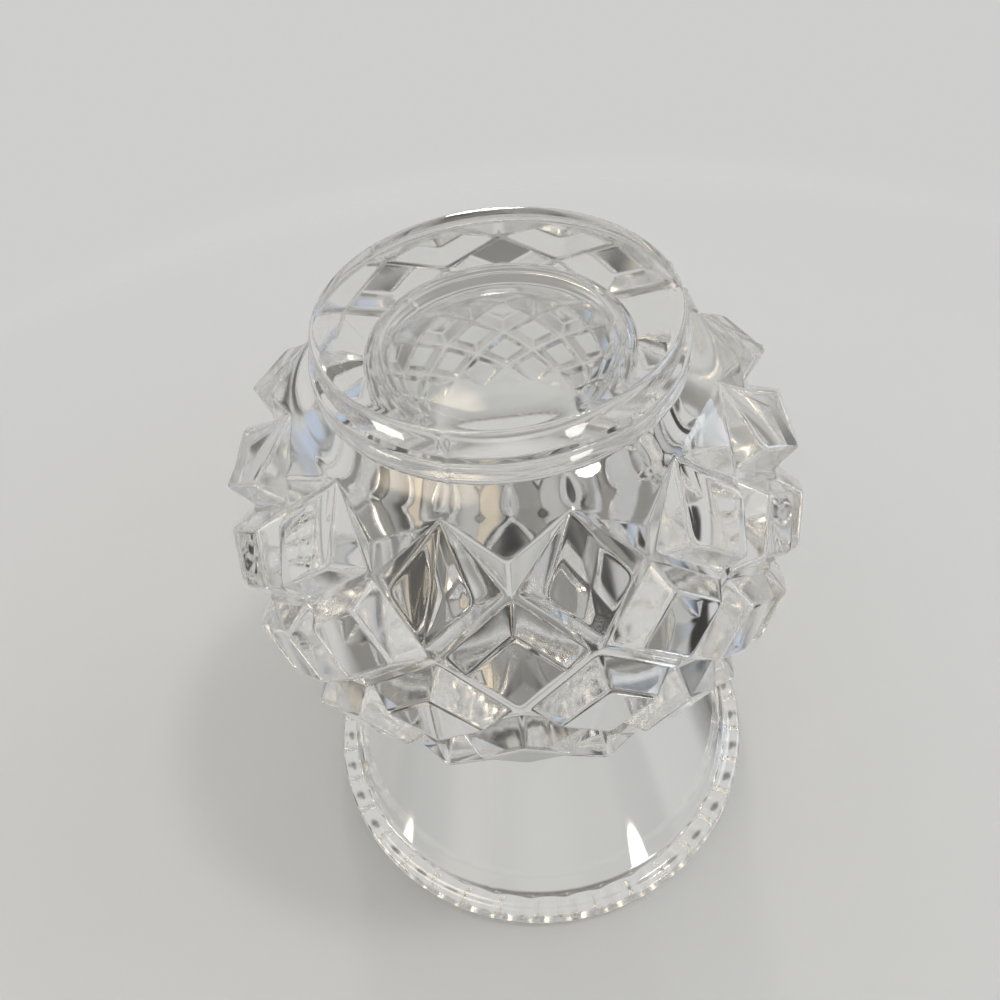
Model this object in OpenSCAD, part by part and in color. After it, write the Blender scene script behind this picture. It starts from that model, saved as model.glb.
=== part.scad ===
// Toothpick holder of clear pressed glass, foot on z = 0, mouth up, millimetres.

/* [Overall] */
// Height from the standing ring to the top of the lip
height = 65; // [50:0.5:80]
// Number of diamonds round the bowl
columns = 12; // [8:1:16]

/* [Foot] */
// Outer diameter of the foot
foot_d = 28.8; // [20:0.2:40]
// Height of the foot
foot_h = 2.4; // [1.5:0.1:4]
// Rounding of the foot's outer edge
foot_edge = 0.8; // [0.3:0.1:1.2]
// Width of the flat ring that the foot stands on
ring_w = 1; // [0.5:0.1:4]
// Depth of the dish inside that ring, at its centre
dish_depth = 0.5; // [0.2:0.1:1.5]
// Diameter of the collar
collar_d = 29.9; // [20:0.1:42]
// Height of the collar
collar_h = 1.6; // [0.8:0.1:3]
// Rounding of the collar's edges
collar_edge = 0.35; // [0.1:0.05:0.6]

/* [Bowl] */
// Radius where the first diamonds start
bowl_start_r = 17.1; // [15:0.1:22]
// Height where the first diamonds start
bowl_start_z = 5.55; // [5:0.05:9]
// Groove radius at the first crossing
cross_1_r = 19.9; // [16:0.1:26]
// Groove radius at the second crossing
cross_2_r = 22.65; // [18:0.05:28]
// Groove radius at the third crossing
cross_3_r = 23.9; // [18:0.1:30]
// Groove radius at the fourth crossing
cross_4_r = 23.1; // [18:0.1:30]
// Groove radius at the fifth crossing
cross_5_r = 21.2; // [18:0.1:28]
// Height between two rings of crossings
cross_pitch = 4.6; // [3.5:0.05:6]
// Radius where the last diamonds end
bowl_end_r = 18.9; // [17:0.1:24]
// Height where the last diamonds end
bowl_end_z = 32.7; // [28:0.1:40]

/* [Diamonds] */
// Height of a diamond's flat above the grooves
diamond_h = 2.35; // [0.8:0.05:3]
// Height of the flat at the middle of the first and last rows
end_row_h = 1.75; // [0.6:0.05:2.4]
// Size of the flat against the full diamond
flat_share = 0.62; // [0.4:0.01:0.8]
// Size of the diamond's base against the full diamond, the rest is groove
base_share = 0.92; // [0.85:0.01:0.98]
// Lift of the smooth points between the first diamonds
point_lift = 1; // [0.3:0.05:1.5]

/* [Mouth] */
// Outer radius of the waist
neck_r = 17.6; // [16:0.1:24]
// Height of the waist
neck_z = 36; // [33:0.1:42]
// Outer radius of the lip
lip_r = 24.8; // [19:0.1:30]
// Height of the lip
lip_h = 3.6; // [2:0.1:6]
// Thickness of the lip
lip_t = 3.5; // [2:0.1:5]
// Number of notches in the lip
notches = 36; // [12:1:48]
// Radius of a notch
notch_r = 1.9; // [1:0.1:3]
// Depth of a notch
notch_depth = 0.85; // [0.3:0.05:1.4]

/* [Well] */
// Height of the well's floor at its centre
well_z = 4.6; // [4.3:0.1:9]
// Radius of the well just above its floor
well_r = 11.2; // [8:0.1:13]
// Rounding between the well's floor and its wall
well_round = 3; // [1:0.1:6]
// Slope of the dished floor where the rounding starts
floor_slope = 15; // [1:1:30]
// Radius of the well at the waist
well_neck_r = 14.2; // [10:0.1:15.5]

/* [Hidden] */
$fn = 96;
glass = [0.86, 0.9, 0.92, 0.45];
foot_r = foot_d / 2;
collar_r = collar_d / 2;
collar_z = foot_h + collar_h;
dish_r = foot_r - foot_edge - ring_w;
floor_r = well_r - well_round * (1 - sin(floor_slope));
floor_rise = floor_r * tan(floor_slope) / 2;
wall_z = well_z + floor_rise + well_round * cos(floor_slope);
step = 360 / columns;
arc_steps = 8;
lip_z = height - lip_h;
ring_r = [bowl_start_r, cross_1_r, cross_2_r, cross_3_r, cross_4_r, cross_5_r, bowl_end_r];
ring_z = [bowl_start_z, bowl_start_z + cross_pitch, bowl_start_z + 2 * cross_pitch,
          bowl_start_z + 3 * cross_pitch, bowl_start_z + 4 * cross_pitch, bowl_start_z + 5 * cross_pitch,
          bowl_end_z];

// Crossing k of ring i; even rings sit half a step round from odd ones
function crossing(i, k) =
    let (a = (k + (i % 2 == 0 ? 0.5 : 0)) * step)
    [ring_r[i] * cos(a), ring_r[i] * sin(a), ring_z[i]];

// Corners of diamond k in row j: foot end, near side, mouth end, far side
function corners(j, k) =
    let (left = j % 2 == 0 ? k : k - 1)
    [crossing(j, k), crossing(j + 1, left), crossing(j + 2, k), crossing(j + 1, left + 1)];

function unit(v) = v / norm(v);
function outward(v) = unit(cross(v[3] - v[1], v[2] - v[0]));
function middle(v) = (v[0] + v[2]) / 2;

// A corner drawn in towards the middle and lifted to height h above it
function lifted(v, i, h) =
    let (m = middle(v), n = outward(v), d = v[i] - m)
    m + flat_share * (d - (d * n) * n) + h * n;

// The same corner on the plane through three given points
function on_plane(v, i, a, b, c) =
    let (p = lifted(v, i, 0), n = outward(v), q = cross(b - a, c - a))
    p + (q * (a - p)) / (q * n) * n;

// Flat top of a diamond; the end rows run out to the corner at their open end
function flat_top(v, open) =
    let (h = open < 0 ? diamond_h : end_row_h, l = lifted(v, 1, h), r = lifted(v, 3, h))
    open < 0 ? [for (i = [0:3]) lifted(v, i, h)] :
    open == 0 ? [v[0], l, on_plane(v, 2, v[0], l, r), r] :
    [on_plane(v, 0, v[2], l, r), l, v[2], r];

// Base of a diamond on the groove-level bowl
function base(v, open) =
    let (m = middle(v))
    [for (i = [0:3]) i == open ? v[i] : m + base_share * (v[i] - m)];

// Points along one end circle of the bowl, first point on a crossing
function end_circle(i) =
    [for (n = [0:columns * arc_steps - 1])
        let (a = (n / arc_steps + 0.5) * step) [ring_r[i] * cos(a), ring_r[i] * sin(a), ring_z[i]]];

// Raised tip of the smooth point that ends at crossing k of ring i, on the side of end ring e
function tip(i, e, k) =
    let (a = k * step, c = crossing(i, k), m = [ring_r[e] * cos(a), ring_r[e] * sin(a), ring_z[e]],
         t = [-sin(a), cos(a), 0], d = e < i ? c - m : m - c, n = unit(cross(t, d)))
    (c + m) / 2 + point_lift * n;

// Groove-level body with the smooth points, still solid
module bowl_body() {
    n = columns * arc_steps;
    start = end_circle(0);
    end = end_circle(6);
    mids = [for (i = [1:5]) for (k = [0:columns - 1]) crossing(i, k)];
    tips = concat([for (k = [0:columns - 1]) tip(1, 0, k)], [for (k = [0:columns - 1]) tip(5, 6, k)]);
    points = concat(start, end, mids, tips);
    // Index of crossing k of ring i, and of the tips at both ends
    function at(i, k) =
        let (w = (k + 2 * columns) % columns)
        i == 0 ? w * arc_steps : i == 6 ? n + w * arc_steps : 2 * n + (i - 1) * columns + w;
    function low_tip(k) = 2 * n + 5 * columns + k;
    function high_tip(k) = 2 * n + 6 * columns + k;
    function wrap(i) = (i + n) % n;
    caps = [[for (i = [0:n - 1]) i], [for (i = [n - 1:-1:0]) n + i]];
    low_fans = [for (k = [0:columns - 1]) for (i = [0:arc_steps - 1])
        let (s = (k - 1) * arc_steps + i) [wrap(s), low_tip(k), wrap(s + 1)]];
    high_fans = [for (k = [0:columns - 1]) for (i = [0:arc_steps - 1])
        let (s = (k - 1) * arc_steps + i) [n + wrap(s + 1), high_tip(k), n + wrap(s)]];
    low_walls = [for (k = [0:columns - 1])
        each [[at(0, k - 1), at(1, k), low_tip(k)], [low_tip(k), at(1, k), at(0, k)]]];
    high_walls = [for (k = [0:columns - 1])
        each [[high_tip(k), at(5, k), at(6, k - 1)], [at(6, k), at(5, k), high_tip(k)]]];
    floors = [for (j = [0:4]) for (k = [0:columns - 1])
        let (l = j % 2 == 0 ? k : k - 1)
        each [[at(j, k), at(j + 1, l), at(j + 2, k)], [at(j, k), at(j + 2, k), at(j + 1, l + 1)]]];
    polyhedron(points, concat(caps, low_fans, high_fans, low_walls, high_walls, floors), convexity = 10);
}

// One raised diamond: truncated pyramid on the bowl
module diamond(j, k) {
    open = j == 0 ? 0 : j == 4 ? 2 : -1;
    v = corners(j, k);
    b = base(v, open);
    f = flat_top(v, open);
    // Index of a flat's corner, shared with the base where the row runs out
    function top(i) = i == open ? i : 4 + i;
    sides = [for (i = [0:3])
        let (n = (i + 1) % 4)
        each [if (i != open) [i, n, top(i)], if (n != open) [n, top(n), top(i)]]];
    polyhedron(concat(b, f), concat([[0, 2, 1], [0, 3, 2], [for (i = [0:3]) top(i)]], sides), convexity = 4);
}

// Row j of diamonds round the bowl
module diamond_row(j) {
    color(glass)
        for (k = [0:columns - 1])
            diamond(j, k);
}

// Outer profile of the mouth at height z
function mouth_out(z) = neck_r + (lip_r - 0.5 - neck_r) * pow((z - neck_z) / (height - neck_z), 1.45);

// Profile of the well's wall at height z
function well_wall(z) =
    z <= neck_z ? well_r + (well_neck_r - well_r) * (z - wall_z) / (neck_z - wall_z) :
    well_neck_r + (lip_r - lip_t - well_neck_r) * pow((z - neck_z) / (height - neck_z), 1.3);

function waist_out(z) = neck_r + (bowl_end_r - neck_r) * pow((neck_z - z) / (neck_z - bowl_end_z), 1.6);

// Heights from z0 to z1 in n equal steps
function heights(z0, z1, n) = [for (i = [0:n]) z0 + (z1 - z0) * i / n];

// Hollow of the well below the waist: dished floor, rounding and tapered wall
module well() {
    floor = [for (i = [0:8]) [floor_r * i / 8, well_z + floor_rise * pow(i / 8, 2)]];
    bend = [for (i = [1:6])
        let (a = floor_slope + (90 - floor_slope) * i / 6)
        [well_r - well_round * (1 - sin(a)), wall_z - well_round * cos(a)]];
    rotate_extrude()
        polygon(concat(floor, bend, [[well_wall(bowl_end_z + 1), bowl_end_z + 1], [0, bowl_end_z + 1]]));
}

module foot() {
    dish = [for (i = [0:10]) [dish_r * i / 10, dish_depth * (1 - pow(i / 10, 2))]];
    edge = [for (a = [-90:15:0]) [foot_r - foot_edge + foot_edge * cos(a), foot_edge + foot_edge * sin(a)]];
    color(glass)
        rotate_extrude()
            polygon(concat(dish, edge, [[foot_r, foot_h - 0.2], [foot_r - 0.2, foot_h], [0, foot_h]]));
}

module collar() {
    low = [for (a = [-90:22.5:0])
        [collar_r - collar_edge + collar_edge * cos(a), foot_h + collar_edge + collar_edge * sin(a)]];
    high = [for (a = [0:22.5:90])
        [collar_r - collar_edge + collar_edge * cos(a), collar_z - collar_edge + collar_edge * sin(a)]];
    color(glass)
        rotate_extrude()
            polygon(concat([[0, foot_h]], low, high, [[0, collar_z]]));
}

module shoulder() {
    start = collar_r - collar_edge;
    dome = [for (i = [0:8])
        [start + (bowl_start_r - start) * sin(90 * i / 8) / 2 + (bowl_start_r - start) * i / 16,
         collar_z + (bowl_start_z - collar_z) * i / 8]];
    color(glass)
        difference() {
            rotate_extrude()
                polygon(concat([[0, collar_z]], dome, [[0, bowl_start_z]]));
            well();
        }
}

module bowl() {
    color(glass)
        difference() {
            bowl_body();
            well();
        }
}

module diamond_row_1() {
    diamond_row(0);
}

module diamond_row_2() {
    diamond_row(1);
}

module diamond_row_3() {
    diamond_row(2);
}

module diamond_row_4() {
    diamond_row(3);
}

module diamond_row_5() {
    diamond_row(4);
}

module neck() {
    out = [for (z = heights(bowl_end_z, neck_z, 6)) [waist_out(z), z]];
    color(glass)
        rotate_extrude()
            polygon(concat([[well_wall(bowl_end_z), bowl_end_z]], out, [[well_wall(neck_z), neck_z]]));
}

module flare() {
    out = [for (z = heights(neck_z, lip_z, 12)) [mouth_out(z), z]];
    inside = [for (z = heights(lip_z, neck_z, 12)) [well_wall(z), z]];
    color(glass)
        rotate_extrude()
            polygon(concat(out, inside));
}

module lip() {
    bead = 0.9;
    out = [for (a = [-90:22.5:0]) [lip_r - bead + bead * cos(a), lip_z + bead + bead * sin(a)]];
    top = [for (a = [0:15:90]) [lip_r - 1.4 + 1.4 * cos(a), height - 1.4 + 1.4 * sin(a)]];
    inner = [for (a = [90:15:180]) [lip_r - lip_t + 1 + cos(a), height - 1 + sin(a)]];
    color(glass)
        difference() {
            rotate_extrude()
                polygon(concat([[mouth_out(lip_z), lip_z]], out, top, inner, [[well_wall(lip_z), lip_z]]));
            for (i = [0:notches - 1])
                rotate([0, 0, 360 * i / notches])
                    translate([lip_r - lip_t - 3, 0, height + notch_r - notch_depth])
                        rotate([0, 90, 0])
                            cylinder(h = lip_t + 6, r = notch_r, $fn = 48);
        }
}

foot();
collar();
shoulder();
bowl();
diamond_row_1();
diamond_row_2();
diamond_row_3();
diamond_row_4();
diamond_row_5();
neck();
flare();
lip();
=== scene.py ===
"""Dresses the toothpick holder: one piece of clear pressed glass, foot on z = 0, mouth up.

The glass is one closed skin, replacing the solids of the frame. Each class lays the stretch of that skin
which one part of the press shapes: the foot, the bowl with its diamonds, the mouth, and the well that the
plunger leaves. Sizes are in millimetres; the skin scales them to metres.
"""

import logging
import math
import random
from dataclasses import dataclass, field
from enum import Enum
from typing import Callable, Optional, Sequence

import bmesh
import bpy
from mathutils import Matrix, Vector


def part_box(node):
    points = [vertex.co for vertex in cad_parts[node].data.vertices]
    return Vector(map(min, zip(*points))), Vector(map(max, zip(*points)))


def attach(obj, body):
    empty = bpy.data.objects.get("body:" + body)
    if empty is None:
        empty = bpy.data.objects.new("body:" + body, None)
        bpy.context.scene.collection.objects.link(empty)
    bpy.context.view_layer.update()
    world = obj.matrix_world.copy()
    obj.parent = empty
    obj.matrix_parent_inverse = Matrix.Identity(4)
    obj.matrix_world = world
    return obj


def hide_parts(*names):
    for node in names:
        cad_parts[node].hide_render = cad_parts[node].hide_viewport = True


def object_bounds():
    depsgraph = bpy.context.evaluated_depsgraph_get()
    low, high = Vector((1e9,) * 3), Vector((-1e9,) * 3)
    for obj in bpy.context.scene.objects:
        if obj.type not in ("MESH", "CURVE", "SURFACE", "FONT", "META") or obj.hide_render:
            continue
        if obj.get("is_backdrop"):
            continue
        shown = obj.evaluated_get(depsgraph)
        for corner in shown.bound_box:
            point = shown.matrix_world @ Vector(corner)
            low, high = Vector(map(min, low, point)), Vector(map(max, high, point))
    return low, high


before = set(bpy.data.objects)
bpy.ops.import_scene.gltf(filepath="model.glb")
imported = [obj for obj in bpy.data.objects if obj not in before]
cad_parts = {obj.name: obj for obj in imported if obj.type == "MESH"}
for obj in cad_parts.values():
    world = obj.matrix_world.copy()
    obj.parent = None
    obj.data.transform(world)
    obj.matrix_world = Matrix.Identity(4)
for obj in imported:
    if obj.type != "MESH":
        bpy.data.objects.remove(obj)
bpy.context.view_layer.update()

log = logging.getLogger("toothpick_holder")

MM = 0.001
COLUMNS = 12
EDGE_STEPS = 12
SEGMENTS = COLUMNS * 2 * EDGE_STEPS
MOULD_LEAVES = 3
FIRST_SEAM = 1
WELD_DISTANCE = 0.002
TINY = 1e-6
MOST_EASED = 0.45
FLAT_WEIGHT = 60

Colour = tuple[float, float, float]
Cut = Callable[[float, float, float], float]


class Zone(Enum):
    """What shaped a stretch of the glass, in the order of its material slots."""

    PRESSED = 0
    FACET = 1
    POLISHED = 2
    PLUNGED = 3
    WORN = 4
    GROOVED = 5


def reach(node: str) -> tuple[float, float, float]:
    """Measures a node of the frame.

    Args:
        node: name of the CAD node.

    Returns:
        Its radius, bottom and top in millimetres.
    """
    low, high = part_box(node)
    return high.x / MM, low.z / MM, high.z / MM


def bearing(azimuth: float, elevation: float) -> Vector:
    """Turns a direction into a unit vector.

    Args:
        azimuth: degrees round from the front, towards +X.
        elevation: degrees above the horizon.

    Returns:
        The unit vector from the holder towards that direction.
    """
    a, e = math.radians(azimuth), math.radians(elevation)
    return Vector((math.sin(a) * math.cos(e), -math.cos(a) * math.cos(e), math.sin(e)))


def eased(before: Vector, corner: Vector, after: Vector, setback: float, steps: int) -> list[Vector]:
    """Rounds one corner of a path, as the fire polish rounds an edge of the glass.

    Args:
        before: point of the path before the corner.
        corner: the corner itself, which the curve cuts off.
        after: point of the path after the corner.
        setback: distance from the corner at which the curve starts and ends.
        steps: number of stretches in the curve.

    Returns:
        The points of the curve, its ends included.
    """
    def away(other: Vector) -> Vector:
        """Gives the point at the setback towards another point, short of half way."""
        return corner.lerp(other, min(setback / max((other - corner).length, TINY), MOST_EASED))

    start, end = away(before), away(after)
    shares = [i / steps for i in range(steps + 1)]
    return [start.lerp(corner, t).lerp(corner.lerp(end, t), t) for t in shares]


def rounded(path: Sequence[tuple[float, float, float]], steps: int = 5) -> list[Vector]:
    """Draws a profile with eased corners.

    Args:
        path: radius, height and setback of each corner; the setback of the ends isn't used.
        steps: number of stretches in each curve.

    Returns:
        The points of the profile, as (radius, height).
    """
    spots = [Vector((r, z)) for r, z, _ in path]
    points = [spots[0]]
    for before, corner, after, (_, _, setback) in zip(spots, spots[1:], spots[2:], path[1:]):
        points += eased(before, corner, after, setback, steps) if setback else [corner]
    return points + [spots[-1]]


class Skin:
    """Closed surface of the glass, laid patch by patch and welded at the end."""

    def __init__(self) -> None:
        """Starts without a face."""
        self.mesh = bmesh.new()

    def patch(self, rows: Sequence[Sequence[Vector]], zone: Zone, closed: bool = False) -> None:
        """Lays faces between neighbouring rows of points.

        Args:
            rows: rows of equally many points, in millimetres.
            zone: what shaped this stretch.
            closed: whether the last point of a row joins its first.
        """
        grid = [[self.mesh.verts.new(point * MM) for point in row] for row in rows]
        for low, high in zip(grid, grid[1:]):
            for i in range(len(low) if closed else len(low) - 1):
                j = (i + 1) % len(low)
                face = self.mesh.faces.new((low[i], low[j], high[j], high[i]))
                face.material_index = zone.value

    def cap(self, ring: Sequence[Vector], zone: Zone) -> None:
        """Closes a flat ring of points with one face."""
        face = self.mesh.faces.new([self.mesh.verts.new(point * MM) for point in ring])
        face.material_index = zone.value

    def revolve(self, profile: Sequence[Vector], zone: Zone, seam: float = 0.0,
                cut: Optional[Cut] = None) -> None:
        """Turns a profile round the axis.

        Args:
            profile: points as (radius, height).
            zone: what shaped this stretch.
            seam: height of the ridge that the mould's joints leave, which fades out at both ends.
            cut: gives a point's height from its radius, height and angle, for notches.
        """
        leaf = SEGMENTS // MOULD_LEAVES
        first = (2 * FIRST_SEAM + 1) * EDGE_STEPS
        rows = []
        for n, (radius, height) in enumerate(profile):
            inner = 0 < n < len(profile) - 1
            row = []
            for i in range(SEGMENTS):
                angle = math.tau * i / SEGMENTS
                proud = radius + seam if inner and i % leaf == first % leaf else radius
                z = cut(radius, height, angle) if cut else height
                row.append(Vector((proud * math.cos(angle), proud * math.sin(angle), z)))
            rows.append(row)
        self.patch(rows, zone, closed=True)

    def weld(self, name: str) -> bpy.types.Object:
        """Joins the patches into one closed piece.

        Args:
            name: name of the piece.

        Returns:
            The new object, with smooth shading that keeps large faces flat.
        """
        bmesh.ops.remove_doubles(self.mesh, verts=self.mesh.verts, dist=WELD_DISTANCE * MM)
        bmesh.ops.recalc_face_normals(self.mesh, faces=self.mesh.faces)
        gaps = sum(1 for edge in self.mesh.edges if len(edge.link_faces) != 2)
        log.info("%s: %d faces, %d edges without two faces", name, len(self.mesh.faces), gaps)
        data = bpy.data.meshes.new(name)
        self.mesh.to_mesh(data)
        self.mesh.free()
        data.polygons.foreach_set("use_smooth", [True] * len(data.polygons))
        piece = bpy.data.objects.new(name, data)
        bpy.context.scene.collection.objects.link(piece)
        flats = piece.modifiers.new("flat_faces", "WEIGHTED_NORMAL")
        flats.mode = "FACE_AREA"
        flats.weight = FLAT_WEIGHT
        return piece


@dataclass
class Foot:
    """Standing ring round a shallow dish, stepped collar and smooth shoulder."""

    edge: float = 0.8
    ring_width: float = 1.0
    dish_depth: float = 0.5
    step: float = 0.2
    collar_edge: float = 0.35
    seam: float = 0.13
    ring_end_ease: float = 0.1
    step_eases: tuple[float, float] = (0.1, 0.08)
    dish_steps: int = 24
    dome_steps: int = 8
    radius: float = field(init=False)
    height: float = field(init=False)
    collar_radius: float = field(init=False)
    collar_top: float = field(init=False)
    shoulder_radius: float = field(init=False)
    shoulder_top: float = field(init=False)

    def __post_init__(self) -> None:
        """Takes the main sizes from the frame."""
        self.radius, _, self.height = reach("foot")
        self.collar_radius, _, self.collar_top = reach("collar")
        self.shoulder_radius, _, self.shoulder_top = reach("shoulder")

    def lay(self, skin: Skin) -> None:
        """Lays the dish, the standing ring, the stepped side and the shoulder."""
        ring_end = self.radius - self.edge
        dish_end = ring_end - self.ring_width
        dish = [Vector((dish_end * t, self.dish_depth * (1 - t * t)))
                for t in (i / self.dish_steps for i in range(self.dish_steps + 1))]
        skin.revolve(dish, Zone.PRESSED)
        skin.revolve([dish[-1], Vector((ring_end, 0))], Zone.WORN)
        start = self.collar_radius - self.collar_edge
        side = rounded([
            (ring_end - self.ring_end_ease, 0, 0),
            (self.radius, 0, self.edge),
            (self.radius, self.height - self.step, self.step_eases[0]),
            (self.radius - self.step, self.height, self.step_eases[1]),
            (self.collar_radius, self.height, self.collar_edge),
            (self.collar_radius, self.collar_top, self.collar_edge),
            (start, self.collar_top, 0),
        ])
        span = self.shoulder_radius - start
        dome = [Vector((start + span * (math.sin(math.pi / 2 * t) + t) / 2,
                        self.collar_top + (self.shoulder_top - self.collar_top) * t))
                for t in (i / self.dome_steps for i in range(1, self.dome_steps + 1))]
        skin.revolve([Vector((ring_end, 0))] + side[1:] + dome, Zone.PRESSED, self.seam)


@dataclass
class Bowl:
    """Bulb of the holder: grooves that cross between five rows of raised diamonds."""

    groove_radii: tuple[float, ...] = (19.9, 22.65, 23.9, 23.1, 21.2)
    pitch: float = 4.6
    diamond_height: float = 2.35
    end_row_height: float = 1.75
    flat_share: float = 0.62
    base_share: float = 0.92
    point_lift: float = 1.0
    corner_share: float = 0.13
    groove_ease: float = 0.12
    edge_ease: float = 0.32
    flat_rim: float = 0.5
    seam: float = 0.16
    flat_drop: float = 0.05
    groove_steps: int = 2
    edge_steps: int = 3
    point_steps: int = 5
    most_inset: float = 0.6
    seed: int = 12
    radii: tuple[float, ...] = field(init=False)
    heights: tuple[float, ...] = field(init=False)
    shares: list[float] = field(init=False)
    chance: random.Random = field(init=False)

    def __post_init__(self) -> None:
        """Takes the ends of the bowl from the frame."""
        start_radius, _, start = reach("shoulder")
        end_radius, end, _ = reach("neck")
        self.radii = (start_radius, *self.groove_radii, end_radius)
        self.heights = (*(start + self.pitch * i for i in range(len(self.groove_radii) + 1)), end)
        self.shares = [(1 - math.cos(math.pi * i / EDGE_STEPS)) / 2 for i in range(EDGE_STEPS + 1)]
        self.chance = random.Random(self.seed)

    def on_ring(self, ring: int, turn: float) -> Vector:
        """Gives the point of a ring of crossings at a turn counted in columns."""
        angle = math.tau * turn / COLUMNS
        radius = self.radii[ring]
        return Vector((radius * math.cos(angle), radius * math.sin(angle), self.heights[ring]))

    def crossing(self, ring: int, k: int) -> Vector:
        """Gives a crossing of two grooves; even rings sit half a column round."""
        return self.on_ring(ring, k + (0.5 if ring % 2 == 0 else 0.0))

    def corners(self, row: int, k: int) -> list[Vector]:
        """Gives the crossings round a diamond: foot end, near side, mouth end, far side."""
        near = k if row % 2 == 0 else k - 1
        return [self.crossing(row, k), self.crossing(row + 1, near),
                self.crossing(row + 2, k), self.crossing(row + 1, near + 1)]

    def flat(self, cell: Sequence[Vector], open_end: Optional[int]) -> list[Vector]:
        """Works out the flat on top of a diamond.

        Args:
            cell: the crossings round the diamond.
            open_end: the corner at which a diamond of an end row runs out, if any.

        Returns:
            The corners of the flat.
        """
        middle = (cell[0] + cell[2]) / 2
        out = (cell[3] - cell[1]).cross(cell[2] - cell[0]).normalized()
        height = self.diamond_height if open_end is None else self.end_row_height
        drop = self.chance.uniform(0, self.flat_drop)

        def lifted(i: int, rise: float) -> Vector:
            """Draws a corner in towards the middle and lifts it."""
            span = cell[i] - middle
            return middle + (span - out * span.dot(out)) * self.flat_share + out * rise

        tops = [lifted(i, height - drop) for i in range(4)]
        if open_end is not None:
            tops[open_end] = cell[open_end].copy()
            normal = (tops[1] - tops[open_end]).cross(tops[3] - tops[open_end])
            far = 2 - open_end
            low = lifted(far, 0.0)
            tops[far] = low + out * (normal.dot(tops[open_end] - low) / normal.dot(out))
        return tops

    def outline(self, corners: Sequence[Vector], corner_share: float) -> list[Vector]:
        """Samples a four-cornered outline.

        Args:
            corners: its corners in order.
            corner_share: share of an edge that the easing of a corner takes.

        Returns:
            Points all round, closest together at the corners.
        """
        def near(before: Vector, corner: Vector, after: Vector, t: float) -> Vector:
            """Gives the point of an eased corner, from its start at 0 to its end at 1."""
            start, end = corner.lerp(before, corner_share), corner.lerp(after, corner_share)
            return start.lerp(corner, t).lerp(corner.lerp(end, t), t)

        points = []
        for i, here in enumerate(corners):
            before, after, beyond = corners[i - 1], corners[(i + 1) % 4], corners[(i + 2) % 4]
            for share in self.shares[:-1]:
                if share < corner_share:
                    points.append(near(before, here, after, 0.5 + share / corner_share / 2))
                elif 1 - share < corner_share:
                    points.append(near(here, after, beyond, 0.5 - (1 - share) / corner_share / 2))
                else:
                    points.append(here.lerp(after, share))
        return points

    def lay_diamond(self, skin: Skin, row: int, k: int) -> None:
        """Lays one diamond with its half of the grooves round it.

        Args:
            skin: the glass.
            row: row of the diamond, 0 next to the foot.
            k: column of the diamond.
        """
        cell = self.corners(row, k)
        open_end = {0: 0, len(self.groove_radii) - 1: 2}.get(row)
        middle = (cell[0] + cell[2]) / 2
        base = [point if i == open_end else middle.lerp(point, self.base_share)
                for i, point in enumerate(cell)]
        flat = self.flat(cell, open_end)
        centre = sum(flat, Vector()) / 4
        lines = []
        for groove, foot, top in zip(self.outline(cell, 0.0), self.outline(base, self.corner_share / 2),
                                     self.outline(flat, self.corner_share)):
            inset = min(self.flat_rim / max((centre - top).length, TINY), self.most_inset)
            lines.append([groove, *eased(groove, foot, top, self.groove_ease, self.groove_steps),
                          *eased(foot, top, centre, self.edge_ease, self.edge_steps),
                          top.lerp(centre, inset)])
        rows = list(zip(*lines))
        rim = list(rows[-1])
        on_seam = row % 2 == 0 and k % (COLUMNS // MOULD_LEAVES) == FIRST_SEAM
        half = 2 * EDGE_STEPS
        if on_seam:
            out = (flat[3] - flat[1]).cross(flat[2] - flat[0]).normalized()
            for i in (0, half):
                rim[i] = rim[i] + out * self.seam
        skin.patch(rows[:-2], Zone.GROOVED, closed=True)
        skin.patch([rows[-3], rows[-2], rim], Zone.FACET, closed=True)
        if on_seam:
            skin.cap(rim[1:half], Zone.FACET)
            skin.cap(rim[half + 1:], Zone.FACET)
            skin.patch([[rim[-1], rim[0], rim[1]], [rim[half + 1], rim[half], rim[half - 1]]], Zone.FACET)
        else:
            skin.cap(rim, Zone.FACET)

    def lay_point(self, skin: Skin, end: int, ring: int, k: int) -> None:
        """Lays one smooth point that reaches between two diamonds of an end row.

        Args:
            skin: the glass.
            end: ring at which the point starts, the first or the last.
            ring: ring of the crossing in which it ends.
            k: column of that crossing.
        """
        near, far, crossing = self.crossing(end, k - 1), self.crossing(end, k), self.crossing(ring, k)
        root = self.on_ring(end, k)
        across = far - near
        out = across.cross(crossing - root) if end < ring else across.cross(root - crossing)
        tip = (crossing + root) / 2 + out.normalized() * self.point_lift
        steps = 2 * EDGE_STEPS
        arc = [self.on_ring(end, k - 0.5 + i / steps) for i in range(steps + 1)]
        groove, ridge = ([near.lerp(by, t) for t in self.shares] + [by.lerp(far, t) for t in self.shares[1:]]
                         for by in (crossing, tip))
        for i in range(-2, 3):
            ridge[EDGE_STEPS + i] = eased(near, tip, far, self.edge_ease * 2, 4)[i + 2]
        lines = []
        for a, b, c in zip(groove, ridge, arc):
            curve = eased(a, b, c, self.edge_ease, self.edge_steps)
            rest = (t / self.point_steps for t in range(1, self.point_steps + 1))
            lines.append([a, *curve, *(curve[-1].lerp(c, t) for t in rest)])
        skin.patch(list(zip(*lines)), Zone.GROOVED)

    def lay(self, skin: Skin) -> None:
        """Lays every diamond and every smooth point."""
        last = len(self.radii) - 1
        for k in range(COLUMNS):
            for row in range(len(self.groove_radii)):
                self.lay_diamond(skin, row, k)
            self.lay_point(skin, 0, 1, k)
            self.lay_point(skin, last, last - 1, k)


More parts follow.
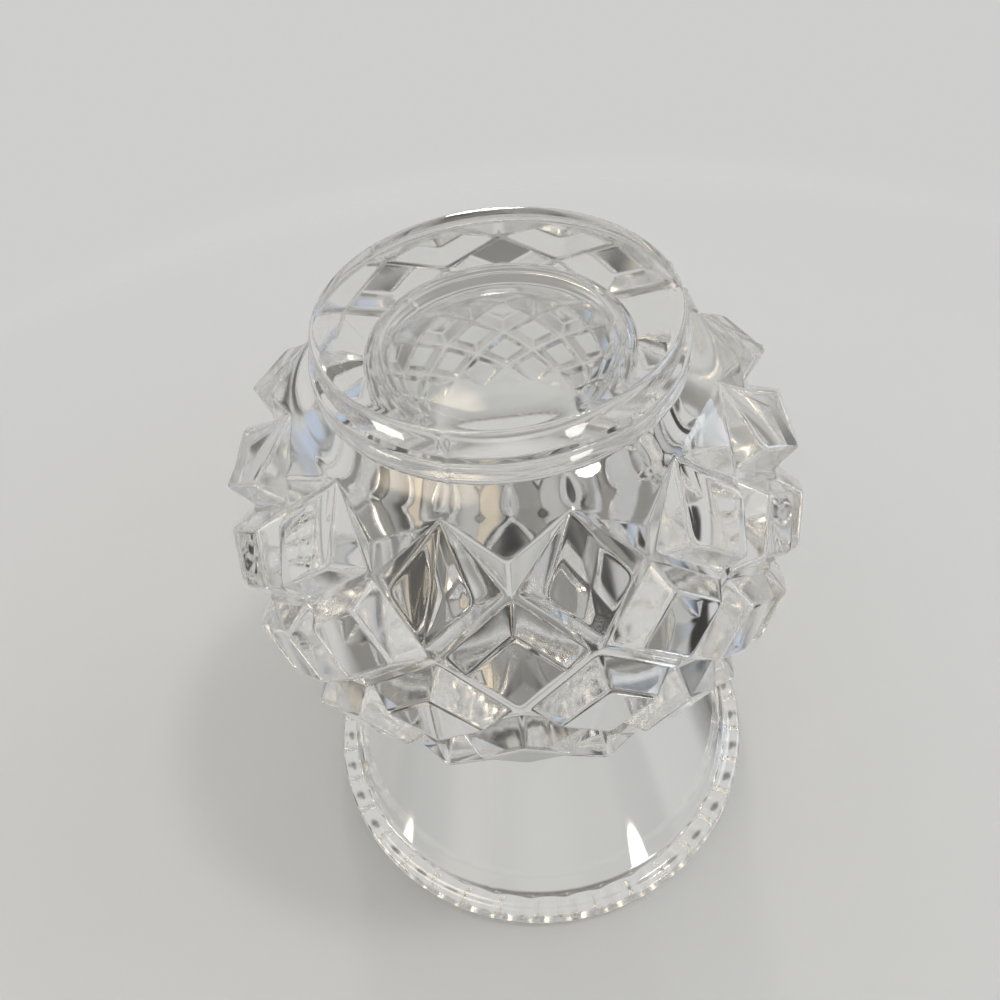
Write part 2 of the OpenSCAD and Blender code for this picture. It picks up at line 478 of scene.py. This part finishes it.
@dataclass
class Mouth:
    """Waist, flared wall and notched lip on the outside, and the wall of the mouth inside."""

    waist_radius: float = 17.6
    waist_power: float = 1.6
    lip_thickness: float = 3.5
    lip_overhang: float = 0.5
    flare_power: float = 1.45
    inside_power: float = 1.3
    inside_waist: float = 14.2
    bead: float = 0.9
    outer_round: float = 1.4
    inner_round: float = 1.0
    notches: int = 36
    notch_radius: float = 1.9
    notch_depth: float = 0.85
    notch_ease: float = 0.12
    seam: float = 0.07
    waist_steps: int = 6
    flare_steps: int = 18
    lip_steps: int = 8
    waist: float = field(init=False)
    start: float = field(init=False)
    start_radius: float = field(init=False)
    lip_radius: float = field(init=False)
    lip_bottom: float = field(init=False)
    top: float = field(init=False)

    def __post_init__(self) -> None:
        """Takes the main sizes from the frame."""
        self.start_radius, self.start, self.waist = reach("neck")
        self.lip_radius, self.lip_bottom, self.top = reach("lip")

    def outside(self, z: float) -> float:
        """Gives the radius of the outer wall at a height."""
        if z < self.waist:
            share = (self.waist - z) / (self.waist - self.start)
            return self.waist_radius + (self.start_radius - self.waist_radius) * share ** self.waist_power
        share = (z - self.waist) / (self.top - self.waist)
        reach_out = self.lip_radius - self.lip_overhang - self.waist_radius
        return self.waist_radius + reach_out * share ** self.flare_power

    def inside(self, z: float) -> float:
        """Gives the radius of the inner wall at a height above the waist."""
        share = (z - self.waist) / (self.top - self.waist)
        reach_out = self.lip_radius - self.lip_thickness - self.inside_waist
        return self.inside_waist + reach_out * share ** self.inside_power

    def notched(self, radius: float, height: float, angle: float) -> float:
        """Lowers a point of the lip to the floor of its notch.

        Args:
            radius: distance of the point from the axis.
            height: its height before the notch.
            angle: its angle round the axis, in radians.

        Returns:
            The height after the notch, eased where the two meet.
        """
        pitch = math.tau / self.notches
        across = radius * math.sin((angle + pitch / 2) % pitch - pitch / 2)
        floor = self.top + self.notch_radius - self.notch_depth
        floor -= math.sqrt(max(self.notch_radius ** 2 - across ** 2, 0.0))
        gap = max(self.notch_ease - abs(height - floor), 0.0) / self.notch_ease
        return min(height, floor) - gap * gap * self.notch_ease / 4

    def lay(self, skin: Skin) -> None:
        """Lays the outer wall from the bowl up, the lip, and the inner wall down to the waist."""
        low = [self.start + (self.waist - self.start) * i / self.waist_steps for i in range(self.waist_steps)]
        high = [self.waist + (self.lip_bottom - self.waist) * i / self.flare_steps
                for i in range(self.flare_steps + 1)]
        skin.revolve([Vector((self.outside(z), z)) for z in low + high], Zone.POLISHED, self.seam)
        rim = self.lip_radius
        lip = rounded([
            (self.outside(self.lip_bottom), self.lip_bottom, 0),
            (rim, self.lip_bottom, self.bead),
            (rim, self.top, self.outer_round),
            (rim - self.lip_thickness, self.top, self.inner_round),
            (self.inside(self.lip_bottom), self.lip_bottom, 0),
        ], steps=self.lip_steps)
        skin.revolve(lip, Zone.POLISHED, cut=self.notched)
        skin.revolve([Vector((self.inside(z), z)) for z in reversed(high)], Zone.POLISHED)


@dataclass
class Well:
    """Hollow that the plunger leaves below the waist."""

    floor: float = 4.6
    radius: float = 11.2
    rounding: float = 3.0
    floor_slope: float = 15.0
    wall_steps: int = 10
    floor_steps: int = 14

    def lay(self, skin: Skin, mouth: Mouth) -> None:
        """Lays the wall of the well and its dished floor.

        Args:
            skin: the glass.
            mouth: the mouth whose inner wall the well carries on.
        """
        slope = math.radians(self.floor_slope)
        floor_end = self.radius - self.rounding * (1 - math.sin(slope))
        rise = floor_end * math.tan(slope) / 2
        bottom = self.floor + rise + self.rounding * math.cos(slope)
        wall = [Vector((mouth.inside_waist + (self.radius - mouth.inside_waist) * t,
                        mouth.waist + (bottom - mouth.waist) * t))
                for t in (i / self.wall_steps for i in range(self.wall_steps))]
        turns = [slope + (math.pi / 2 - slope) * (1 - i / self.wall_steps)
                 for i in range(self.wall_steps + 1)]
        bend = [Vector((self.radius - self.rounding * (1 - math.sin(a)),
                        bottom - self.rounding * math.cos(a))) for a in turns]
        floor = [Vector((floor_end * t, self.floor + rise * t * t))
                 for t in (1 - i / self.floor_steps for i in range(1, self.floor_steps + 1))]
        skin.revolve(wall + bend + floor, Zone.PLUNGED)


class Nodes:
    """Builds the nodes of one material, world or node group."""

    def __init__(self, tree: bpy.types.NodeTree) -> None:
        """Starts from an empty tree."""
        self.tree = tree
        tree.nodes.clear()

    def add(self, kind: str, inputs: Optional[dict] = None, **settings: object) -> bpy.types.Node:
        """Adds a node.

        Args:
            kind: type of the node, without the leading ShaderNode.
            inputs: value or source socket of each input, by name or number.
            settings: properties of the node.

        Returns:
            The new node.
        """
        made = self.tree.nodes.new(kind if kind.startswith("Node") else "ShaderNode" + kind)
        for name, value in settings.items():
            setattr(made, name, value)
        for name, value in (inputs or {}).items():
            if isinstance(value, bpy.types.NodeSocket):
                self.tree.links.new(value, made.inputs[name])
            else:
                made.inputs[name].default_value = value
        return made

    def math(self, operation: str, first: object, second: object = 0.0) -> bpy.types.NodeSocket:
        """Adds a math node with the given operation on two values or sockets and gives its result."""
        return self.add("Math", {0: first, 1: second}, operation=operation).outputs[0]


def node_group(name: str, inputs: dict[str, float],
               outputs: dict[str, str]) -> tuple[Nodes, bpy.types.Node, bpy.types.Node]:
    """Starts a shader node group.

    Args:
        name: name of the group.
        inputs: default of each input value.
        outputs: socket type of each output.

    Returns:
        The builder of its nodes, its input node and its output node.
    """
    tree = bpy.data.node_groups.new(name, "ShaderNodeTree")
    for label, value in inputs.items():
        tree.interface.new_socket(label, in_out="INPUT", socket_type="NodeSocketFloat").default_value = value
    for label, kind in outputs.items():
        tree.interface.new_socket(label, in_out="OUTPUT", socket_type=kind)
    nodes = Nodes(tree)
    return nodes, nodes.add("NodeGroupInput"), nodes.add("NodeGroupOutput")


def chill_ripple_group() -> bpy.types.NodeTree:
    """Builds the slow waves that glass keeps where it met the cooler mould.

    Returns:
        A group that puts out a height in millimetres.
    """
    nodes, given, out = node_group(
        "chill_ripple", {"Size": 5.0, "Stretch": 1.0, "Height": 0.005, "Fine": 0.2},
        {"Height": "NodeSocketFloat"})
    place = nodes.add("TexCoord").outputs["Object"]
    squeeze = nodes.add("CombineXYZ", {0: 1.0, 1: 1.0, 2: given.outputs["Stretch"]}).outputs[0]
    place = nodes.add("VectorMath", {0: place, 1: squeeze}, operation="MULTIPLY").outputs[0]
    scale = nodes.math("DIVIDE", 1 / MM, given.outputs["Size"])
    slow = nodes.add("TexNoise", {"Vector": place, "Scale": scale, "Detail": 1.5, "Roughness": 0.4})
    close = nodes.math("MULTIPLY", scale, 6.0)
    quick = nodes.add("TexNoise", {"Vector": place, "Scale": close, "Detail": 2.0})
    fine = nodes.math("MULTIPLY", quick.outputs[0], given.outputs["Fine"])
    height = nodes.math("MULTIPLY", nodes.math("ADD", slow.outputs[0], fine), given.outputs["Height"])
    nodes.tree.links.new(height, out.inputs["Height"])
    return nodes.tree


def handling_group() -> bpy.types.NodeTree:
    """Builds the marks of use: faint smears, and fine scuffs where the glass is set down.

    Returns:
        A group that puts out a roughness and the tint of the smears.
    """
    nodes, given, out = node_group(
        "handling_marks", {"Polish": 0.01, "Smear": 0.03, "Scuff": 0.0, "Grey": 0.97},
        {"Roughness": "NodeSocketFloat", "Tint": "NodeSocketColor"})
    place = nodes.add("TexCoord").outputs["Object"]
    cloud = nodes.add("TexNoise", {"Vector": place, "Scale": 110.0, "Detail": 4.0, "Distortion": 0.6})
    smear = nodes.add("MapRange", {"Value": cloud.outputs[0], "From Min": 0.48, "From Max": 0.72})
    lines = nodes.add("TexNoise", {"Vector": place, "Scale": 2600.0, "Detail": 3.0, "Distortion": 2.0})
    scuff = nodes.add("MapRange", {"Value": lines.outputs[0], "From Min": 0.45, "From Max": 0.68})
    smeared = nodes.math("MULTIPLY", smear.outputs[0], given.outputs["Smear"])
    scuffed = nodes.math("MULTIPLY", scuff.outputs[0], given.outputs["Scuff"])
    rough = nodes.math("ADD", nodes.math("ADD", given.outputs["Polish"], smeared), scuffed)
    nodes.tree.links.new(rough, out.inputs["Roughness"])
    shade = given.outputs["Grey"]
    grey = nodes.add("CombineColor", {
        0: shade, 1: nodes.math("MULTIPLY", shade, 1.006), 2: nodes.math("MULTIPLY", shade, 1.004)})
    tint = nodes.add("Mix", {"Factor": smear.outputs[0], 6: grey.outputs[0], 7: (0.985, 0.99, 0.988, 1.0)},
                     data_type="RGBA")
    nodes.tree.links.new(tint.outputs[2], out.inputs["Tint"])
    return nodes.tree


@dataclass(frozen=True)
class GlassFinish:
    """How one stretch of the glass was left by the mould, the plunger, the fire or use."""

    name: str
    polish: float
    smear: float
    scuff: float
    ripple: float
    ripple_size: float
    stretch: float = 1.0
    fine: float = 0.15
    grey: float = 0.97
    index: float = 1.52

    def material(self, ripple: bpy.types.NodeTree, handling: bpy.types.NodeTree) -> bpy.types.Material:
        """Builds the material.

        Args:
            ripple: node group of the slow waves.
            handling: node group of the marks of use.

        Returns:
            A clear glass with this finish.
        """
        made = bpy.data.materials.new(self.name)
        made.use_nodes = True
        nodes = Nodes(made.node_tree)
        waves = nodes.add("Group", node_tree=ripple)
        marks = nodes.add("Group", node_tree=handling)
        wave_values = {"Size": self.ripple_size, "Stretch": self.stretch, "Height": self.ripple,
                       "Fine": self.fine}
        mark_values = {"Polish": self.polish, "Smear": self.smear, "Scuff": self.scuff, "Grey": self.grey}
        for node, values in ((waves, wave_values), (marks, mark_values)):
            for name, value in values.items():
                node.inputs[name].default_value = value
        bump = nodes.add("Bump", {"Height": waves.outputs["Height"], "Strength": 1.0, "Distance": MM})
        glass = nodes.add("BsdfPrincipled", {
            "Base Color": marks.outputs["Tint"], "Roughness": marks.outputs["Roughness"],
            "Normal": bump.outputs[0], "IOR": self.index, "Transmission Weight": 1.0})
        nodes.add("OutputMaterial", {"Surface": glass.outputs[0]})
        return made


FINISHES = {
    Zone.PRESSED: GlassFinish("pressed_glass", 0.05, 0.015, 0.0, 0.012, 4.0, fine=0.04),
    Zone.FACET: GlassFinish("diamond_flats", 0.04, 0.012, 0.0, 0.014, 5.0, fine=0.03),
    Zone.POLISHED: GlassFinish("fire_polished_mouth", 0.03, 0.015, 0.0, 0.02, 9.0, 0.35, fine=0.03),
    Zone.PLUNGED: GlassFinish("plunger_wall", 0.04, 0.02, 0.0, 0.04, 6.0, 0.6, fine=0.02),
    Zone.WORN: GlassFinish("standing_ring", 0.03, 0.05, 0.16, 0.004, 2.0),
    Zone.GROOVED: GlassFinish("diamond_bevels", 0.1, 0.02, 0.0, 0.005, 4.0, fine=0.06),
}


class Holder:
    """The whole piece of glass."""

    name = "pressed_glass_holder"

    def build(self) -> bpy.types.Object:
        """Lays the skin, welds it and places it in the frame.

        Returns:
            The finished piece.
        """
        skin = Skin()
        mouth = Mouth()
        Foot().lay(skin)
        Bowl().lay(skin)
        mouth.lay(skin)
        Well().lay(skin, mouth)
        piece = skin.weld(self.name)
        self.dress(piece)
        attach(piece, "root")
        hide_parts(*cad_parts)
        return piece

    def dress(self, piece: bpy.types.Object) -> None:
        """Gives the piece one material for each zone."""
        ripple, handling = chill_ripple_group(), handling_group()
        for zone in Zone:
            piece.data.materials.append(FINISHES[zone].material(ripple, handling))


@dataclass(frozen=True)
class SoftBox:
    """One lamp of the studio, aimed at the middle of the holder; distance and size in metres."""

    name: str
    azimuth: float
    elevation: float
    distance: float
    size: float
    power: float
    colour: Colour
    shines: bool = True

    def hang(self, target: Vector) -> None:
        """Hangs the lamp."""
        data = bpy.data.lights.new(self.name, "AREA")
        data.shape = "DISK"
        data.size, data.energy, data.color = self.size, self.power, self.colour
        lamp = bpy.data.objects.new(self.name, data)
        back = bearing(self.azimuth, self.elevation)
        lamp.location = target + back * self.distance
        lamp.rotation_euler = back.to_track_quat("Z", "Y").to_euler()
        lamp.visible_camera = lamp.visible_transmission = False
        lamp.visible_glossy = self.shines
        bpy.context.scene.collection.objects.link(lamp)


@dataclass(frozen=True)
class Patch:
    """Round patch of the surroundings as the glass sees them: a painted reflection of a reflector or a flag,
    which only mirror and refraction rays see and which lights nothing; angles in degrees.
    """

    azimuth: float
    elevation: float
    half_angle: float
    soft: float
    colour: Colour
    mirrored_only: bool = False


@dataclass(frozen=True)
class Ground:
    """Plain pale surface that the holder touches, seen from one side and fading into the surroundings."""

    name: str
    upward: bool
    steep_only: bool = False
    grey: Colour = (0.62, 0.62, 0.615)
    half_width: float = 3.0
    fade_start: float = 0.1
    fade_end: float = 0.45

    def lay(self, height: float, pale: Colour) -> None:
        """Lays the surface.

        Args:
            height: where the surface lies, in metres.
            pale: colour of the surroundings into which it fades.
        """
        half = self.half_width if self.upward else -self.half_width
        wide = abs(half)
        data = bpy.data.meshes.new(self.name)
        spots = ((-half, -wide), (half, -wide), (half, wide), (-half, wide))
        data.from_pydata([(x, y, height) for x, y in spots], [], [(0, 1, 2, 3)])
        ground = bpy.data.objects.new(self.name, data)
        bpy.context.scene.collection.objects.link(ground)
        ground.visible_glossy = ground.visible_transmission = ground.visible_shadow = False
        data.materials.append(self.paint(pale))
        ground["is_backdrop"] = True

    def paint(self, pale: Colour) -> bpy.types.Material:
        """Builds the matt paint.

        Args:
            pale: colour of the surroundings into which it fades.

        Returns:
            The material, clear from behind and, where only steep views show it, at a glancing angle.
        """
        made = bpy.data.materials.new(self.name + "_paint")
        made.use_nodes = True
        nodes = Nodes(made.node_tree)
        geometry = nodes.add("NewGeometry")
        flat = nodes.add("VectorMath", {0: geometry.outputs["Position"], 1: (1.0, 1.0, 0.0)},
                         operation="MULTIPLY")
        away = nodes.add("VectorMath", {0: flat.outputs[0]}, operation="LENGTH").outputs["Value"]
        fade = nodes.add("MapRange", {"Value": away, "From Min": self.fade_start, "From Max": self.fade_end},
                         interpolation_type="SMOOTHSTEP")
        matt = nodes.add("BsdfPrincipled", {"Base Color": (*self.grey, 1.0), "Roughness": 0.9,
                                            "Specular IOR Level": 0.2})
        far = nodes.add("Emission", {"Color": (*pale, 1.0)})
        seen = nodes.add("MixShader", {0: fade.outputs[0], 1: matt.outputs[0], 2: far.outputs[0]})
        hidden = geometry.outputs["Backfacing"]
        if self.steep_only:
            glance = nodes.add("LayerWeight", {"Blend": 0.5}).outputs["Facing"]
            glancing = nodes.add("MapRange", {"Value": glance, "From Min": 0.5, "From Max": 0.66})
            hidden = nodes.math("MAXIMUM", hidden, glancing.outputs[0])
        clear = nodes.add("BsdfTransparent")
        sided = nodes.add("MixShader", {0: hidden, 1: seen.outputs[0], 2: clear.outputs[0]})
        nodes.add("OutputMaterial", {"Surface": sided.outputs[0]})
        return made


@dataclass
class Studio:
    """Pale floor, pale surroundings, soft boxes, patches and the camera of the photograph."""

    pale: Colour = (0.62, 0.62, 0.615)
    dim: Colour = (0.24, 0.23, 0.212)
    fill: float = 0.92
    camera_place: Colour = (-2.899, -57.143, -40.201)
    camera_turn: Colour = (-137.577, -4.821, -179.125)
    lens: float = 32.4
    sensor: float = 36.0
    nearest: float = 0.002
    bounces: int = 32
    boxes: tuple[SoftBox, ...] = (
        SoftBox("right_spot", -77, -69, 0.4, 0.05, 0.25, (1.0, 0.96, 0.9)),
        SoftBox("back_spot", 177, -24, 0.4, 0.05, 0.2, (1.0, 0.96, 0.9)),
        SoftBox("cool_window", -100, -12, 0.4, 0.2, 0.35, (0.72, 0.84, 1.0)),
        SoftBox("left_window", 73, 35, 0.4, 0.12, 0.3, (1.0, 0.9, 0.74)),
        SoftBox("right_window", -43, 35, 0.4, 0.08, 0.15, (1.0, 0.96, 0.9)),
        SoftBox("overhead", 20, 78, 0.6, 0.4, 1.9, (1.0, 0.98, 0.95), shines=False),
    )
    # painted reflections: reflectors and flags that only the glass sees in mirror and refraction rays; they
    # light nothing
    patches: tuple[Patch, ...] = (
        Patch(0, -90, 86, 22, (0.6, 0.59, 0.57)),
        Patch(0, -90, 22, 16, (0.85, 0.83, 0.8)),
        Patch(180, 46, 18, 42, (0.62, 0.615, 0.6)),
        Patch(0, 90, 8, 12, (0.18, 0.175, 0.165)),
        Patch(0, 27, 8, 12, (0.44, 0.43, 0.41)),
        Patch(40, 28, 7, 9, (0.6, 0.52, 0.4)),
        Patch(-88, 46, 12, 12, (0.48, 0.48, 0.47)),
        Patch(70, 44, 9, 8, (0.06, 0.058, 0.054)),
        Patch(-52, 42, 6, 6, (0.03, 0.03, 0.03)),
        Patch(20, 13, 5, 8, (0.14, 0.135, 0.13)),
        Patch(4, 56, 6, 5, (0.02, 0.02, 0.02)),
        Patch(-30, 60, 8, 7, (0.03, 0.03, 0.03)),
        Patch(-121, 37, 10, 8, (0.012, 0.012, 0.012)),
        Patch(-105, 10, 9, 14, (0.5, 0.58, 0.72)),
        # painted highlight: a bright warm glow that only mirror rays see and that lights nothing
        Patch(75, -64, 8, 12, (7.0, 5.9, 4.3), mirrored_only=True),
        *(Patch(azimuth, -45, 9, 10, (0.34, 0.33, 0.31)) for azimuth in (0, 60, 120, 180, -60, -120)),
    )

    def set_world(self) -> None:
        """Surrounds the holder with pale light, and paints reflectors and flags into the surroundings that
        only mirror and refraction rays see: painted reflections, which light nothing.
        """
        world = bpy.data.worlds.new("studio")
        bpy.context.scene.world = world
        world.use_nodes = True
        nodes = Nodes(world.node_tree)
        way = nodes.add("TexCoord").outputs["Generated"]
        colour = nodes.add("RGB").outputs[0]
        colour.default_value = (*self.dim, 1.0)
        path = nodes.add("LightPath")
        for patch in self.patches:
            towards = nodes.add("VectorMath", {0: way, 1: bearing(patch.azimuth, patch.elevation)},
                                operation="DOT_PRODUCT").outputs["Value"]
            edge = {"From Min": math.cos(math.radians(min(patch.half_angle + patch.soft, 180))),
                    "From Max": math.cos(math.radians(patch.half_angle))}
            mask = nodes.add("MapRange", {"Value": towards, **edge}, interpolation_type="SMOOTHSTEP")
            mask = mask.outputs[0]
            if patch.mirrored_only:
                mask = nodes.math("MULTIPLY", mask, path.outputs["Is Glossy Ray"])
            painted = nodes.add("Mix", {0: mask, 6: colour, 7: (*patch.colour, 1.0)}, data_type="RGBA")
            colour = painted.outputs[2]
        # mirror and refraction rays see the painted reflections of the patches; every other ray sees plain
        # light
        glass_sees = nodes.math("MAXIMUM", path.outputs["Is Glossy Ray"], path.outputs["Is Transmission Ray"])
        plain = nodes.add("Background", {"Color": (*self.pale, 1.0), "Strength": 1.0})
        patched = nodes.add("Background", {"Color": colour, "Strength": 1.0})
        lit = nodes.add("Background", {"Color": (1.0, 1.0, 1.0, 1.0), "Strength": self.fill})
        other = nodes.add("MixShader", {
            0: path.outputs["Is Camera Ray"], 1: lit.outputs[0], 2: plain.outputs[0]})
        seen = nodes.add("MixShader", {0: glass_sees, 1: other.outputs[0], 2: patched.outputs[0]})
        nodes.add("OutputWorld", {"Surface": seen.outputs[0]})

    def set_camera(self) -> None:
        """Stands the camera where the photograph was taken: below the foot, with the holder upside down."""
        data = bpy.data.cameras.new("photograph")
        data.lens, data.sensor_width, data.clip_start = self.lens, self.sensor, self.nearest
        camera = bpy.data.objects.new("photograph", data)
        camera.location = Vector(self.camera_place) * MM
        camera.rotation_euler = [math.radians(turn) for turn in self.camera_turn]
        bpy.context.scene.collection.objects.link(camera)
        bpy.context.scene.camera = camera

    def build(self, low: Vector, high: Vector) -> None:
        """Sets the whole stage round the holder.

        Args:
            low: lowest corner of the holder.
            high: highest corner of the holder.
        """
        scene = bpy.context.scene
        scene.view_settings.view_transform = "Standard"
        for limit in ("max_bounces", "transmission_bounces", "glossy_bounces"):
            setattr(scene.cycles, limit, self.bounces)
        Ground("floor", upward=True).lay(low.z, self.pale)
        Ground("table", upward=False, steep_only=True, grey=(0.66, 0.665, 0.665), fade_start=0.05,
               fade_end=0.16).lay(high.z, self.pale)
        self.set_world()
        for box in self.boxes:
            box.hang((low + high) / 2)
        self.set_camera()


def main() -> None:
    """Builds the holder and its stage, and logs how many nodes of the frame the holder stands for."""
    logging.basicConfig(level=logging.INFO, format="%(name)s: %(message)s")
    piece = Holder().build()
    low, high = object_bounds()
    log.info("%s stands for %d nodes", piece.name, len(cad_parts))
    Studio().build(low, high)


if __name__ == "__main__":
    main()
